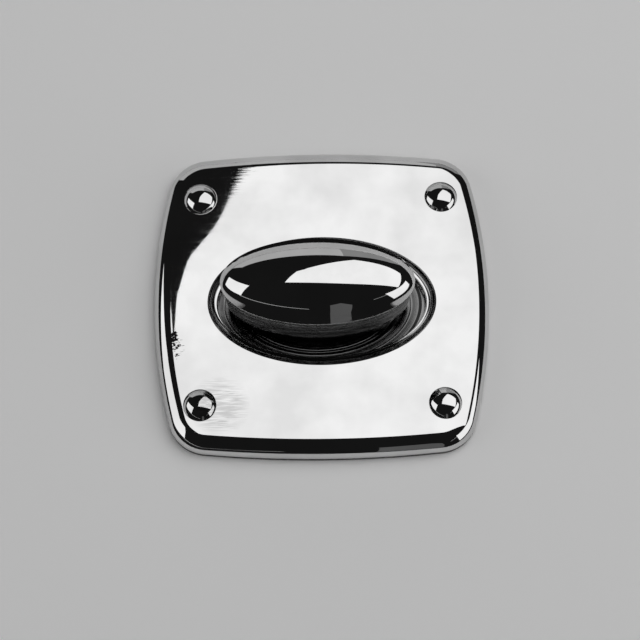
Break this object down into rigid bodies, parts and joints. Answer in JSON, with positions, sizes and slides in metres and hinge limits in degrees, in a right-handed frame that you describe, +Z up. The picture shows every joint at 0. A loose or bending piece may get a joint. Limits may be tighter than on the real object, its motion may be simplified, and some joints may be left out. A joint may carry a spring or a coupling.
{
  "type": "twist lock clasp",
  "caption": "Twist lock clasp for a bag flap: barrel-shaped face plate with a dished oval opening, corner domes and an oval turning knob.",
  "frame": {"origin": "under the middle of the face plate, on the surface that the clasp lies on", "axes": "+Z up through the knob, +X along the oval opening and the knob at rest, -Y towards the viewer of the picture"},
  "size_m": [0.038, 0.0362, 0.0114],
  "materials": {
    "polished_plating": "polished nickel plating on die-cast zinc",
    "cast_plating": "nickel plating on unpolished die-cast zinc",
    "dull_plating": "dull nickel plating on stamped steel sheet",
    "steel": "bright turned and pressed steel",
    "spring_steel": "hardened spring steel strip, oiled"
  },
  "bodies": {
    "knob_half": {"base_casting": "cast_plating", "spring_cover": "dull_plating", "detent_spring": "spring_steel", "thrust_washer": "steel"},
    "turning_knob": {"knob": "polished_plating", "knob_pin": "steel", "detent_cam": "steel", "cam_washer": "steel"},
    "flap_half": {"front_plate": "polished_plating", "flap_back_plate": "dull_plating", "frame_screw_1": "steel", "frame_screw_2": "steel", "frame_screw_3": "steel", "frame_screw_4": "steel"}
  },
  "joints": [
    {"name": "knob_turn", "type": "hinge", "parent": "knob_half", "child": "turning_knob", "pos_m": [-0.00045, 0, 0.008], "axis": [0, 0, 1], "continuous": true, "deforming": ["detent_spring"]},
    {"name": "flap_lift", "type": "slide", "parent": "knob_half", "child": "flap_half", "axis": [0, 0, 1], "range_m": [0, 0.014]}
  ]
}
